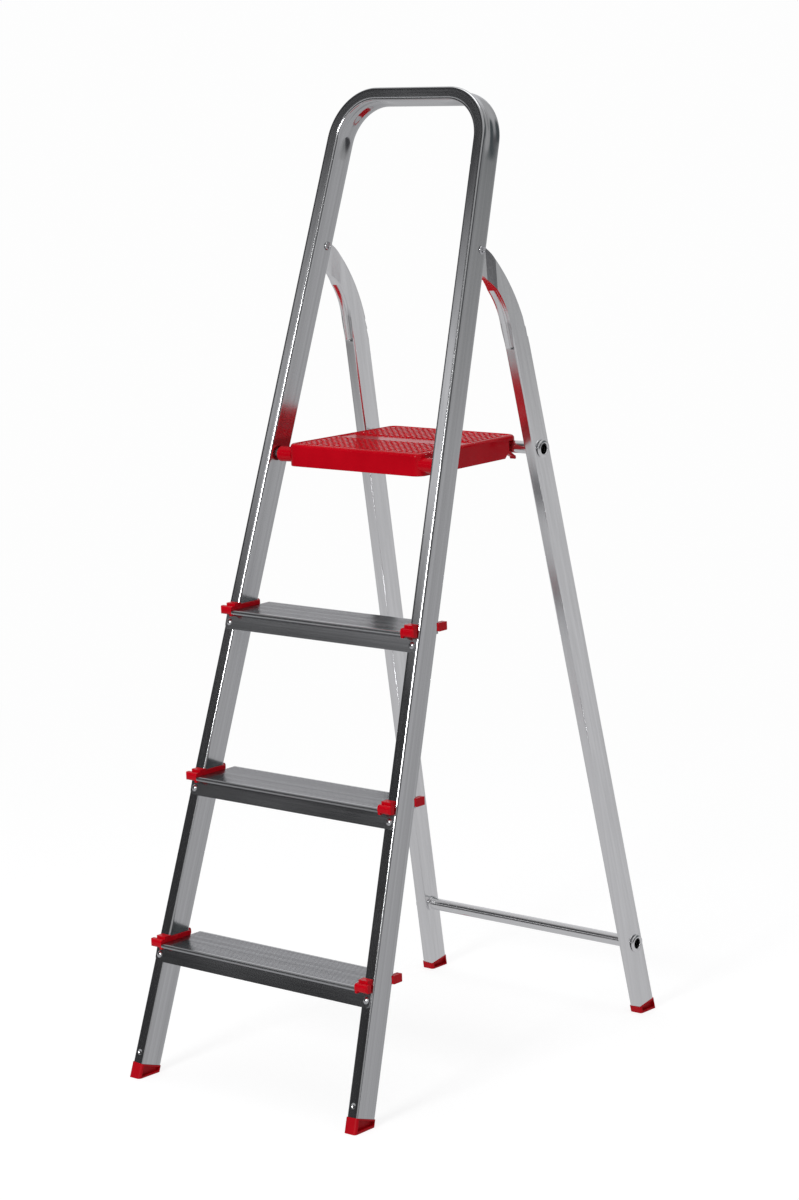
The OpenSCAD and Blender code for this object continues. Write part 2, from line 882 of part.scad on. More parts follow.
module platform_pin(s) {
  wall = in_x(pin_a);
  tilt = collar_d / 2 * tan(splay) + seat;
  color(steel)
    in_frame()
      side(s)
        translate([0, stile_d / 2, pin_a]) {
          xcyl(pin_d / 2, ear_x - pin_in, wall + stile_wall + 3);
          xcyl(collar_d / 2, ear_x + seat * 4, wall - tilt);
          // clenched head inside the tube
          xcyl(pin_d / 2 + 2, wall + stile_wall + 0.6, wall + stile_wall + 3);
        }
}

// ---------- platform ----------
// plan outline, shrunk by inset on every side and cut off at depth
module plat_plan(inset, depth) {
  r = max(1, plat_r - inset);
  t = side_tilt;
  wf = plat_front_w / 2 - inset / cos(t);
  y0 = inset;
  y1 = depth - inset;
  cf = wf - (y0 + r) * tan(t) - r / cos(t);
  cr = wf - (y1 - r) * tan(t) - r / cos(t);
  polygon([
    [-cf, y0],
    [cf, y0],
    [cf + r * cos(t), y0 + r + r * sin(t)],
    [cr + r * cos(t), y1 - r + r * sin(t)],
    [cr, y1],
    [-cr, y1],
    [-cr - r * cos(t), y1 - r + r * sin(t)],
    [-cf - r * cos(t), y0 + r + r * sin(t)]
  ]);
  for (m = [-1, 1]) {
    translate([m * cf, y0 + r])
      circle(r = r);
    translate([m * cr, y1 - r])
      circle(r = r);
  }
}

module platform() {
  chamfer = skirt_chamfer;
  color(red)
    in_platform()
      difference() {
        union() {
          difference() {
            // block with the rear lip
            translate([0, 0, -plat_skirt])
              linear_extrude(height = plat_skirt)
                plat_plan(0, plat_d);
            translate([-far / 2, skirt_d, -plat_skirt - 1])
              cube([far, far, plat_skirt + 1 - lip_t]);
            // relief at the skirt's lower rear corner
            along_x(-far / 2, far / 2)
              polygon([
                [skirt_d - chamfer, -plat_skirt - 1],
                [skirt_d - chamfer, -plat_skirt],
                [skirt_d, -plat_skirt + chamfer],
                [skirt_d + 1, -plat_skirt + chamfer],
                [skirt_d + 1, -plat_skirt - 1]
              ]);
            // hollow underside
            translate([0, 0, -plat_skirt - 1])
              linear_extrude(height = plat_skirt + 1 - plat_top_t)
                intersection() {
                  plat_plan(plat_wall, plat_d);
                  translate([-far / 2, 0])
                    square([far, skirt_d - chamfer - plat_wall]);
                }
            // smooth strip across the top
            translate([0, plat_d / 2 - strip_w / 2, -strip_h])
              linear_extrude(height = strip_h + 1)
                translate([-plat_rear_w / 2 + field_in, 0])
                  square([plat_rear_w - 2 * field_in, strip_w]);
          }
          // ribs
          translate([0, 0, -plat_top_t - rib_h])
            linear_extrude(height = rib_h + 0.5) {
              for (k = [1:rib_n])
                translate([-plat_front_w / 2 + k * plat_front_w / (rib_n + 1) - rib_t / 2, 2])
                  square([rib_t, skirt_d - chamfer - 3]);
              for (k = [1, 2])
                translate([-plat_rear_w / 2 + 2, k * skirt_d / 3])
                  square([plat_rear_w - 4, rib_t]);
            }
          // hinge ears
          both() {
            translate([0, pin_y, -pin_drop])
              xcyl(ear_r, ear_x - pin_in - 4, ear_x);
            translate([ear_x - pin_in - 4, pin_y, -pin_drop - ear_r])
              cube([pin_in + 1, ear_r, 2 * ear_r]);
          }
        }
        // bores for the hinge pins
        both()
          translate([0, pin_y, -pin_drop])
            xcyl(pin_d / 2 + run, ear_x - pin_in - 1, ear_x + 5);
      }
}

module latch_fingers() {
  bar_low = up_bar_h - bar_r - platform_h;
  edge = skirt_chamfer - plat_skirt;
  color(red)
    in_platform()
      both()
        along_x(plat_rear_w / 2 - finger_w - 1, plat_rear_w / 2 - 1)
          polygon([
            [skirt_d + seat, edge + 1.8],
            [skirt_d + seat, edge - 0.4 * seat],
            [skirt_d - 3, edge - 3 - 1.5 * seat],
            [skirt_d + finger_l - 4, bar_low - 3.4 - finger_t],
            [skirt_d + finger_l - 2.8, bar_low - 6.4 - finger_t],
            [skirt_d + finger_l - 0.2, bar_low - 5.8 - finger_t],
            [skirt_d + finger_l - 1.2, bar_low - 4.2],
            [skirt_d + finger_l - 3, bar_low - 3.5]
          ]);
}

// ---------- nodes ----------
module tread_lower() { tread(0); }
module tread_middle() { tread(1); }
module tread_upper() { tread(2); }
module tread_rivets_lower() { tread_rivets(0); }
module tread_rivets_middle() { tread_rivets(1); }
module tread_rivets_upper() { tread_rivets(2); }
module tread_end_lower_left() { end_piece(0, -1); }
module tread_end_lower_right() { end_piece(0, 1); }
module tread_end_middle_left() { end_piece(1, -1); }
module tread_end_middle_right() { end_piece(1, 1); }
module tread_end_upper_left() { end_piece(2, -1); }
module tread_end_upper_right() { end_piece(2, 1); }
module front_foot_left() { front_foot(-1); }
module front_foot_right() { front_foot(1); }
module rear_foot_left() { rear_foot(-1); }
module rear_foot_right() { rear_foot(1); }
module rear_leg_left() { rear_leg(-1); }
module rear_leg_right() { rear_leg(1); }
module upper_crossbar() { crossbar(up_bar_s); }
module lower_crossbar() { crossbar(low_bar_s); }
module pivot_rivet_left() { pivot_rivet(-1); }
module pivot_rivet_right() { pivot_rivet(1); }
module platform_pin_left() { platform_pin(-1); }
module platform_pin_right() { platform_pin(1); }

front_hoop();
tread_lower();
tread_middle();
tread_upper();
tread_end_lower_left();
tread_end_lower_right();
tread_end_middle_left();
tread_end_middle_right();
tread_end_upper_left();
tread_end_upper_right();
tread_rivets_lower();
tread_rivets_middle();
tread_rivets_upper();
front_foot_left();
front_foot_right();
rear_leg_left();
rear_leg_right();
rear_foot_left();
rear_foot_right();
upper_crossbar();
lower_crossbar();
pivot_rivet_left();
pivot_rivet_right();
platform();
platform_pin_left();
platform_pin_right();
latch_fingers();
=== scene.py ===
import json
import math

import bmesh
import bpy
from bpy.props import FloatProperty, FloatVectorProperty, PointerProperty
from mathutils import Euler, Matrix, Vector


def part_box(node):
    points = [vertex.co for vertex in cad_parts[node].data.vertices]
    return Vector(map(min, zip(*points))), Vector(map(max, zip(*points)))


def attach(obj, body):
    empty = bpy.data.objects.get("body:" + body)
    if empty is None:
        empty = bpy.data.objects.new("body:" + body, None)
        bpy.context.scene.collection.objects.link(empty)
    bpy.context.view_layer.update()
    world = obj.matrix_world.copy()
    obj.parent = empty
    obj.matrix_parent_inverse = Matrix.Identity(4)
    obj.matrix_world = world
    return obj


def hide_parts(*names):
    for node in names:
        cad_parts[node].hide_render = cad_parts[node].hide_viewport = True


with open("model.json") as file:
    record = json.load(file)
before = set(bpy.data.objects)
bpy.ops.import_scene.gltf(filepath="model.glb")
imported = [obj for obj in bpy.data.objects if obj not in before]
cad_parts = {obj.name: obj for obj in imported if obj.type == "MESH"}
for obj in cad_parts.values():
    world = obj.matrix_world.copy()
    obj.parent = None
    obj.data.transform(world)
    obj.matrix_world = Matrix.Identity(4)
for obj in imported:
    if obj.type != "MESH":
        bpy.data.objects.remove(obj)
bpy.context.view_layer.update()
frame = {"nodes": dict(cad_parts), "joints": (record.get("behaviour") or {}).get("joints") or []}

bl_info = {
    "name": "Step Ladder",
    "version": (1, 0, 0),
    "blender": (4, 5, 0),
    "location": "View3D > Sidebar > Ladder",
    "description": "Dresses the packed step ladder with its metal, its red plastic and its studio",
    "category": "Object",
}

FRONT = "front_frame"
REAR = "rear_frame"
PLATFORM = "platform"
TREADS = ("lower", "middle", "upper")
SIDES = ("left", "right")


def joint(name):
    return next(j for j in frame["joints"] if j["name"] == name)


PIVOT = Vector(joint("rear_fold")["pos_m"])
HINGE = Vector(joint("platform_tilt")["pos_m"])
BAR_RADIUS = 0.009


# ---------------------------------------------------------------- settings
class LadderSizes(bpy.types.PropertyGroup):
    lean: FloatProperty(name="Front lean", description="Lean of the front frame from upright",
                        default=math.radians(18), subtype="ANGLE")
    rear_lean: FloatProperty(name="Rear lean", description="Lean of the rear legs from upright",
                             default=math.radians(10.3), subtype="ANGLE")
    splay: FloatProperty(name="Splay", description="Splay of each side tube",
                         default=math.radians(2.9), subtype="ANGLE")
    tube_width: FloatProperty(name="Tube width", description="Side tube across the ladder",
                              default=0.019, unit="LENGTH")
    tube_depth: FloatProperty(name="Tube depth", description="Side tube from front to back",
                              default=0.038, unit="LENGTH")
    tube_wall: FloatProperty(name="Tube wall", description="Wall of the side tube",
                             default=0.0016, unit="LENGTH")
    tube_round: FloatProperty(name="Tube corner", description="Corner radius of the side tube",
                              default=0.003, unit="LENGTH")
    bow_radius: FloatProperty(name="Bow radius", description="Bend radius on the tube's centre line",
                              default=0.0675, unit="LENGTH")
    dent: FloatProperty(name="Bend groove", description="Depth of the valley pressed into each bend",
                        default=0.0032, unit="LENGTH")
    frame_length: FloatProperty(name="Frame length", description="Front frame along its slope",
                                default=1.44599, unit="LENGTH")
    frame_width: FloatProperty(name="Frame width", description="Front frame outside at the floor",
                               default=0.430, unit="LENGTH")
    pivot_up: FloatProperty(name="Pivot height", description="Leg pivot along the slope",
                            default=1.220, unit="LENGTH")
    pivot_in: FloatProperty(name="Pivot depth", description="Leg pivot behind the frame's front",
                            default=0.028, unit="LENGTH")
    stud_pitch: FloatProperty(name="Stud pitch", description="Distance between platform studs",
                              default=0.0105, unit="LENGTH")
    stud_height: FloatProperty(name="Stud height", description="Height of the platform studs",
                               default=0.0013, unit="LENGTH")
    edge: FloatProperty(name="Platform edge", description="Rounding of the platform's upper edge",
                        default=0.005, unit="LENGTH")


class LadderColours(bpy.types.PropertyGroup):
    # Tube metal, darker than the legs' real aluminium: painted shade standing in for the dark studio that
    # the tubes mirror.
    tube_metal_with_painted_shade: FloatVectorProperty(name="Mill aluminium", description="Colour of the tubes",
                              default=(0.62, 0.625, 0.635), size=3, subtype="COLOR")
    leg: FloatVectorProperty(name="Leg aluminium", description="Colour of the rear legs and crossbars",
                             default=(0.90, 0.90, 0.91), size=3, subtype="COLOR")
    # Tread metal, darker still: painted shade standing in for the dark surroundings that the treads and
    # their fascias mirror.
    tread: FloatVectorProperty(name="Tread aluminium", description="Colour of the treads",
                               default=(0.50, 0.505, 0.515), size=3, subtype="COLOR")
    steel: FloatVectorProperty(name="Rivet steel", description="Colour of rivets and pins",
                               default=(0.62, 0.62, 0.64), size=3, subtype="COLOR")
    red: FloatVectorProperty(name="Red plastic", description="Colour of platform, ends and feet",
                             default=(0.60, 0.0012, 0.010), size=3, subtype="COLOR")


class StudioSettings(bpy.types.PropertyGroup):
    lens: FloatProperty(name="Lens", description="Focal length for a 36 mm long side",
                        default=98.36, min=10, max=400)
    yaw: FloatProperty(name="Yaw", description="Camera heading from +Y towards -X",
                       default=math.radians(41.232), subtype="ANGLE")
    pitch: FloatProperty(name="Pitch", description="Camera tilt",
                         default=math.radians(-10.372), subtype="ANGLE")
    roll: FloatProperty(name="Roll", description="Camera roll",
                        default=math.radians(-2.206), subtype="ANGLE")
    stand: FloatVectorProperty(name="Camera place", description="Where the camera stands",
                               default=(3.04889, -3.44067, 1.49652), size=3,
                               subtype="TRANSLATION", unit="LENGTH")
    floor: FloatVectorProperty(name="Floor", description="Colour of the studio floor",
                               default=(0.80, 0.80, 0.80), size=3, subtype="COLOR")


def sizes():
    return bpy.context.scene.ladder_sizes


def colours():
    return bpy.context.scene.ladder_colours


# ---------------------------------------------------------------- mesh tools
def outward(bm):
    """Turns the faces of a closed mesh outwards."""
    bmesh.ops.recalc_face_normals(bm, faces=bm.faces)


def new_object(name, bm, smooth=math.radians(32)):
    mesh = bpy.data.meshes.new(name)
    bm.normal_update()
    bm.to_mesh(mesh)
    bm.free()
    obj = bpy.data.objects.new(name, mesh)
    bpy.context.scene.collection.objects.link(obj)
    shade(obj, smooth)
    return obj


def shade(obj, angle):
    mesh = obj.data
    for poly in mesh.polygons:
        poly.use_smooth = True
    mesh.set_sharp_from_angle(angle=angle)


def bake(obj):
    """Applies the object's modifiers to its mesh."""
    graph = bpy.context.evaluated_depsgraph_get()
    mesh = bpy.data.meshes.new_from_object(obj.evaluated_get(graph), depsgraph=graph)
    old = obj.data
    obj.modifiers.clear()
    obj.data = mesh
    bpy.data.meshes.remove(old)
    mesh.name = obj.name


def even_normals(obj):
    mod = obj.modifiers.new("even normals", "WEIGHTED_NORMAL")
    mod.keep_sharp = True
    mod.weight = 60


def soften(obj, width, segments=2, angle=38):
    mod = obj.modifiers.new("soft edges", "BEVEL")
    mod.width = width
    mod.segments = segments
    mod.limit_method = "ANGLE"
    mod.angle_limit = math.radians(angle)
    mod.use_clamp_overlap = True
    even_normals(obj)


def loft(bm, rings, closed=False, caps=True):
    """Quads between rings of equally many points."""
    rows = [[bm.verts.new(p) for p in ring] for ring in rings]
    count = len(rows[0])
    pairs = list(zip(rows, rows[1:]))
    if closed:
        pairs.append((rows[-1], rows[0]))
    for a, b in pairs:
        for i in range(count):
            k = (i + 1) % count
            bm.faces.new((a[i], a[k], b[k], b[i]))
    if caps and not closed:
        bm.faces.new(list(reversed(rows[0])))
        bm.faces.new(rows[-1])
    return rows


def block(bm, lo, hi, turn=None):
    """A box between two corners, turned about the origin by a matrix."""
    x0, y0, z0 = lo
    x1, y1, z1 = hi
    low = [(x0, y0, z0), (x1, y0, z0), (x1, y1, z0), (x0, y1, z0)]
    high = [(x, y, z1) for x, y, _ in low]
    rings = [[turn @ Vector(p) if turn else Vector(p) for p in ring] for ring in (low, high)]
    return loft(bm, rings)


def lathe(profile, centre, axis, count=40):
    """Rings made by turning (along, radius) pairs about an axis."""
    centre, axis = Vector(centre), Vector(axis).normalized()
    side = axis.orthogonal().normalized()
    up = axis.cross(side)
    rings = []
    for along, radius in profile:
        ring = []
        for k in range(count):
            t = 2 * math.pi * k / count
            ring.append(centre + axis * along + (side * math.cos(t) + up * math.sin(t)) * radius)
        rings.append(ring)
    return rings


def discard(objects):
    for obj in objects:
        mesh = obj.data
        bpy.data.objects.remove(obj)
        bpy.data.meshes.remove(mesh)


def join(first, others):
    """Moves the meshes of the other objects into the first."""
    bm = bmesh.new()
    bm.from_mesh(first.data)
    for other in others:
        bm.from_mesh(other.data)
    bm.to_mesh(first.data)
    bm.free()
    discard(others)


def cut(obj, cutters):
    """Cuts the cutters' shapes out of the object and throws the cutters away."""
    for cutter in cutters:
        mod = obj.modifiers.new("cut", "BOOLEAN")
        mod.operation = "DIFFERENCE"
        mod.solver = "EXACT"
        mod.object = cutter
    bpy.context.view_layer.update()
    bake(obj)
    discard(cutters)


def smoothstep(t):
    t = max(0.0, min(1.0, t))
    return t * t * (3 - 2 * t)


# ---------------------------------------------------------------- materials
class Nodes:
    """Short names for building a node tree."""

    def __init__(self, name):
        self.mat = bpy.data.materials.new(name)
        self.mat.use_nodes = True
        self.tree = self.mat.node_tree
        self.shader = self.tree.nodes["Principled BSDF"]

    def add(self, kind, **values):
        node = self.tree.nodes.new(kind)
        for key, value in values.items():
            if hasattr(node, key):
                setattr(node, key, value)
            else:
                node.inputs[key.replace("_", " ")].default_value = value
        return node

    def link(self, a, b):
        self.tree.links.new(a, b)

    def coords(self, turn=(0, 0, 0), scale=(1, 1, 1), kind="Object"):
        place = self.add("ShaderNodeTexCoord")
        spin = self.add("ShaderNodeMapping")
        spin.inputs["Rotation"].default_value = turn
        self.link(place.outputs[kind], spin.inputs["Vector"])
        size = self.add("ShaderNodeMapping")
        size.inputs["Scale"].default_value = scale
        self.link(spin.outputs[0], size.inputs["Vector"])
        return size.outputs[0]

    def noise(self, vector, scale, detail=3.0, rough=0.55):
        node = self.add("ShaderNodeTexNoise")
        node.inputs["Scale"].default_value = scale
        node.inputs["Detail"].default_value = detail
        node.inputs["Roughness"].default_value = rough
        self.link(vector, node.inputs["Vector"])
        return node.outputs["Fac"]

    def ramp(self, fac, stops):
        node = self.add("ShaderNodeValToRGB")
        ramp = node.color_ramp
        while len(ramp.elements) < len(stops):
            ramp.elements.new(0.5)
        for item, (at, value) in zip(ramp.elements, stops):
            item.position = at
            item.color = value if len(value) == 4 else (*value, 1)
        self.link(fac, node.inputs["Fac"])
        return node.outputs["Color"]

    def scale_to(self, fac, lo, hi, frm=(0.3, 0.7)):
        node = self.add("ShaderNodeMapRange")
        node.inputs["From Min"].default_value = frm[0]
        node.inputs["From Max"].default_value = frm[1]
        node.inputs["To Min"].default_value = lo
        node.inputs["To Max"].default_value = hi
        self.link(fac, node.inputs["Value"])
        return node.outputs["Result"]

    def mix(self, fac, a, b, blend="MIX"):
        node = self.add("ShaderNodeMix")
        node.data_type = "RGBA"
        node.blend_type = blend
        if isinstance(fac, float):
            node.inputs["Factor"].default_value = fac
        else:
            self.link(fac, node.inputs["Factor"])
        for socket, value in ((node.inputs["A"], a), (node.inputs["B"], b)):
            pick = [s for s in node.inputs if s.name == socket.name and s.type == "RGBA"][0]
            if isinstance(value, tuple):
                pick.default_value = (*value[:3], 1)
            else:
                self.link(value, pick)
        return [s for s in node.outputs if s.type == "RGBA"][0]

    def bump(self, height, strength, distance, under=None):
        node = self.add("ShaderNodeBump")
        node.inputs["Strength"].default_value = strength
        node.inputs["Distance"].default_value = distance
        self.link(height, node.inputs["Height"])
        if under:
            self.link(under, node.inputs["Normal"])
        return node.outputs["Normal"]


def times(colour, k):
    return tuple(c * k for c in colour)


def aluminium(name, colour, turn, rough, lines, bands, spread=0.03, kind="Object"):
    """Extruded aluminium: lengthwise die lines, cloudy oxide and small rubbed spots.

    The turn lays the lines along the piece, rough and spread set the gloss and how it varies,
    and bands are the darkest and brightest line as shares of the colour.
    """
    n = Nodes(name)
    s = n.shader
    s.inputs["Metallic"].default_value = 1.0
    flat = kind == "UV"
    run = n.coords(turn, (1, 0.005, 1) if flat else (1, 1, 0.005), kind)
    cloud = n.coords(turn, (1, 0.2, 1) if flat else (1, 1, 0.2), kind)
    plain = n.coords((0, 0, 0), (1, 1, 1), kind)
    fine = n.noise(run, 900, 2.0, 0.6)
    band = n.noise(run, 150, 2.0, 0.5)
    haze = n.noise(cloud, 14, 4.0, 0.6)
    spots = n.noise(plain, 260, 3.0, 0.6)
    tone = n.mix(n.scale_to(band, 0, 1), times(colour, bands[0]), times(colour, bands[1]))
    tone = n.mix(n.scale_to(haze, 0, 0.4), tone, times(colour, 0.90))
    tone = n.mix(n.scale_to(spots, 0, 0.3, (0.66, 0.80)), tone, times(colour, 0.75))
    n.link(tone, s.inputs["Base Color"])
    gloss = n.add("ShaderNodeMath", operation="ADD")
    n.link(n.scale_to(fine, rough - spread * 0.5, rough + spread * 0.5), gloss.inputs[0])
    n.link(n.scale_to(haze, -0.05, 0.07), gloss.inputs[1])
    n.link(gloss.outputs[0], s.inputs["Roughness"])
    first = n.bump(fine, 0.05 * lines, 0.0003)
    second = n.bump(band, 0.08 * lines, 0.0006, first)
    third = n.bump(haze, 0.04, 0.003, second)
    n.link(third, s.inputs["Normal"])
    return n.mat


def steel(name, colour):
    n = Nodes(name)
    s = n.shader
    s.inputs["Metallic"].default_value = 1.0
    fine = n.noise(n.coords(), 1800, 3.0)
    haze = n.noise(n.coords(), 180, 3.0)
    n.link(n.mix(n.scale_to(haze, 0, 1), times(colour, 0.8), times(colour, 1.15)), s.inputs["Base Color"])
    n.link(n.scale_to(fine, 0.16, 0.30), s.inputs["Roughness"])
    n.link(n.bump(fine, 0.06, 0.0002), s.inputs["Normal"])
    return n.mat


def red_plastic(name, colour, rough, grain):
    """Moulded plastic: fine spark grain, slightly paler scuffs and uneven gloss."""
    n = Nodes(name)
    s = n.shader
    fine = n.noise(n.coords(), 2200, 2.0)
    soft = n.noise(n.coords(), 22, 2.0)
    scuff = n.noise(n.coords((0.3, 0.2, 0.5), (1, 3, 1)), 320, 4.0, 0.65)
    tone = n.mix(n.scale_to(soft, 0, 1), times(colour, 0.92), times(colour, 1.05))
    worn = tuple(min(1.0, c + 0.06) for c in colour)
    tone = n.mix(n.scale_to(scuff, 0, 0.22, (0.66, 0.82)), tone, worn)
    n.link(tone, s.inputs["Base Color"])
    gloss = n.scale_to(soft, rough - 0.05, rough + 0.06)
    n.link(gloss, s.inputs["Roughness"])
    s.inputs["IOR"].default_value = 1.25
    s.inputs["Specular IOR Level"].default_value = 0.5
    n.link(n.bump(fine, 0.10 * grain, 0.0002), s.inputs["Normal"])
    return n.mat


def dress(node, material):
    obj = frame["nodes"][node]
    obj.data.materials.clear()
    obj.data.materials.append(material)
    return obj


def finish_of(name):
    return bpy.data.materials[name]


# ---------------------------------------------------------------- front frame's own axes
def in_frame(x, depth, along):
    """A point given across, into the tube and up the slope, in the row frame."""
    s = sizes()
    c, n = math.cos(s.lean), math.sin(s.lean)
    y0 = PIVOT.y - (s.pivot_up * n + s.pivot_in * c)
    z0 = PIVOT.z - (s.pivot_up * c - s.pivot_in * n)
    return Vector((x, along * n + depth * c + y0, along * c - depth * n + z0))


def tube_mid(along):
    s = sizes()
    return s.frame_width / 2 - s.tube_width / 2 / math.cos(s.splay) - math.tan(s.splay) * along


def slope_normal():
    s = sizes()
    return Vector((0, -math.cos(s.lean), math.sin(s.lean)))


# ---------------------------------------------------------------- operators
class LADDER_OT_finishes(bpy.types.Operator):
    """Makes the metal and plastic finishes"""

    bl_idname = "ladder.finishes"
    bl_label = "Finishes"

    def execute(self, context):
        c = colours()
        across = (0, math.pi / 2, 0)
        down_leg = (-sizes().rear_lean, 0, 0)
        # The tube and tread colours carry painted shade: their aluminium is darkened to look like the dark
        # studio mirrored in it.
        aluminium("tube aluminium", tuple(c.tube_metal_with_painted_shade), (0, 0, 0), 0.12, 0.35, (0.84, 1.08), kind="UV")
        aluminium("leg aluminium", tuple(c.leg), down_leg, 0.18, 0.30, (0.92, 1.05), spread=0.04)
        aluminium("tread aluminium", tuple(c.tread), across, 0.20, 0.25, (0.74, 1.08))
        aluminium("bar aluminium", tuple(c.leg), across, 0.16, 0.30, (0.93, 1.04))
        steel("bright steel", tuple(c.steel))
        red_plastic("platform red", tuple(c.red), 0.20, 0.6)
        red_plastic("end piece red", tuple(c.red), 0.24, 0.8)
        red_plastic("foot red", times(tuple(c.red), 0.9), 0.42, 1.6)
        return {"FINISHED"}


class LADDER_OT_hoop(bpy.types.Operator):
    """Bends the front hoop from one rectangular tube"""

    bl_idname = "ladder.hoop"
    bl_label = "Front hoop"

    def execute(self, context):
        obj = self.tube()
        obj.data.materials.append(finish_of("tube aluminium"))
        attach(obj, FRONT)
        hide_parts("front_hoop")
        return {"FINISHED"}

    def path(self):
        """Stations along half the hoop: across, slope, outward direction, how far the bend is pressed in."""
        s = sizes()
        r = s.bow_radius
        bow_a = s.frame_length - s.tube_width / 2 - r
        bow_x = tube_mid(bow_a) - r / math.cos(s.splay)
        top = (bow_a + r * math.sin(s.splay)) / math.cos(s.splay)
        mid0 = tube_mid(0)
        clear_of_floor = 0.021
        start = clear_of_floor / math.cos(s.lean) / math.cos(s.splay)
        fade = 0.030
        stations = []
        lows = [start, start + 0.004, 0.2, 0.4, 0.6, 0.8, 1.0, 1.2, top - 0.06]
        lows += [top - fade + fade * k / 5 for k in range(6)]
        bend_len = r * (math.pi / 2 - s.splay)
        whole = bend_len + 2 * fade

        def press(run):
            t = run / whole
            return smoothstep(t / 0.30) * smoothstep((1 - t) / 0.30)

        for up in lows:
            x, a = mid0 - up * math.sin(s.splay), up * math.cos(s.splay)
            run = up - (top - fade)
            stations.append((x, a, math.cos(s.splay), math.sin(s.splay), press(run) if run > 0 else 0.0, up))
        steps = 22
        for k in range(1, steps):
            t = s.splay + (math.pi / 2 - s.splay) * k / steps
            run = fade + r * (t - s.splay)
            x, a = bow_x + r * math.cos(t), bow_a + r * math.sin(t)
            stations.append((x, a, math.cos(t), math.sin(t), press(run), top + run - fade))
        for k in range(6):
            d = fade * k / 5
            run = fade + bend_len + d
            stations.append((bow_x - d, bow_a + r, 0.0, 1.0, press(run), top + bend_len + d))
        stations.append((0.0, bow_a + r, 0.0, 1.0, 0.0, top + bend_len + bow_x))
        return stations

    def section(self, width, depth, radius, press):
        """Outline of the tube with pressed walls, as points (outward, into the tube)."""
        s = sizes()
        w, d = width / 2, depth / 2
        points = []

        def corner(cx, cy, start):
            for k in range(6):
                t = start + math.pi / 2 * k / 5
                points.append([cx + radius * math.cos(t), cy + radius * math.sin(t)])

        def wall(x0, y0, x1, y1, n):
            for k in range(1, n):
                points.append([x0 + (x1 - x0) * k / n, y0 + (y1 - y0) * k / n])

        corner(w - radius, d - radius, 0)
        wall(w - radius, d, -w + radius, d, 4)
        corner(-w + radius, d - radius, math.pi / 2)
        wall(-w, d - radius, -w, -d + radius, 16)
        corner(-w + radius, -d + radius, math.pi)
        wall(-w + radius, -d, w - radius, -d, 6)
        corner(w - radius, -d + radius, 3 * math.pi / 2)
        wall(w, -d + radius, w, d - radius, 16)
        if press:
            for p in points:
                if abs(p[0]) > w - radius * 0.7:
                    reach = 0.0148 if p[0] > 0 else 0.0135
                    t = abs(p[1]) / reach
                    if t < 1:
                        fall = (math.cos(math.pi * t) + 1) / 2
                        p[0] -= math.copysign(s.dent * press * fall, p[0])
        return points

    def skin(self, bm, uv, stations, width, depth, radius, inner):
        """Lofts one skin of the tube, with its distance round and along kept in the UV layer."""
        mid_depth = sizes().tube_depth / 2
        rings = [[bm.verts.new(in_frame(x + ox * u, mid_depth + v, a + oa * u))
                  for u, v in self.section(width, depth, radius, press)]
                 for x, a, ox, oa, press, _ in stations]
        plain = self.section(width, depth, radius, 0)
        around = [0.0]
        for p, q in zip(plain, plain[1:] + plain[:1]):
            around.append(around[-1] + math.dist(p, q))
        count = len(plain)
        for i, (low, high) in enumerate(zip(rings, rings[1:])):
            run_low, run_high = stations[i][5], stations[i + 1][5]
            for k in range(count):
                m = (k + 1) % count
                quad = [low[k], low[m], high[m], high[k]]
                spots = [(around[k], run_low), (around[k + 1], run_low),
                         (around[k + 1], run_high), (around[k], run_high)]
                if inner:
                    quad.reverse()
                    spots.reverse()
                for loop, spot in zip(bm.faces.new(quad).loops, spots):
                    loop[uv].uv = spot
        return rings

    def end_wall(self, bm, outer, inner, turned):
        """Closes the tube's wall at one of its ends."""
        count = len(outer)
        for k in range(count):
            m = (k + 1) % count
            quad = [outer[m], outer[k], inner[k], inner[m]]
            bm.faces.new(quad[::-1] if turned else quad)

    def slot_tool(self, side):
        """Cutter for the slot that takes a leg's tongue."""
        s = sizes()
        half_width, back, below, above = 0.0071, 0.030, 0.068, 0.011
        turn = Euler((-s.lean, 0, 0)).to_matrix() @ Euler((0, -s.splay * side, 0)).to_matrix()
        mid = PIVOT.copy()
        mid.x = side * tube_mid(s.pivot_up)
        tool = bmesh.new()
        for ring in block(tool, (-half_width, 0.0, -below), (half_width, back, above), turn):
            for v in ring:
                v.co += mid
        return new_object("slot tool", tool)

    def punch_tool(self, side):
        """Cutter for the round punch mark near a side tube's foot."""
        mark_up = 0.0375
        dish = [(-0.0013, 0.0008), (-0.0011, 0.0022), (-0.0004, 0.0037), (0.0005, 0.0047)]
        tool = bmesh.new()
        loft(tool, lathe(dish, in_frame(side * tube_mid(mark_up), 0.0, mark_up), slope_normal(), 24))
        return new_object("punch tool", tool)

    def tube(self):
        s = sizes()
        half = self.path()
        whole = 2 * half[-1][5]
        stations = half + [(-x, a, -ox, oa, press, whole - run)
                           for x, a, ox, oa, press, run in reversed(half[:-1])]
        bm = bmesh.new()
        uv = bm.loops.layers.uv.new("run")
        thin = 2 * s.tube_wall
        outer = self.skin(bm, uv, stations, s.tube_width, s.tube_depth, s.tube_round, False)
        inner = self.skin(bm, uv, stations, s.tube_width - thin, s.tube_depth - thin,
                          s.tube_round - s.tube_wall + 0.0002, True)
        self.end_wall(bm, outer[0], inner[0], False)
        self.end_wall(bm, outer[-1], inner[-1], True)
        outward(bm)
        obj = new_object("hoop_tube", bm)
        cut(obj, [make(side) for side in (-1, 1) for make in (self.slot_tool, self.punch_tool)])
        shade(obj, math.radians(32))
        even_normals(obj)
        return obj


class LADDER_OT_treads(bpy.types.Operator):
    """Finishes the ribbed treads"""

    bl_idname = "ladder.treads"
    bl_label = "Treads"

    def execute(self, context):
        for level in TREADS:
            obj = dress("tread_" + level, finish_of("tread aluminium"))
            soften(obj, 0.00025, 1, 50)
        return {"FINISHED"}


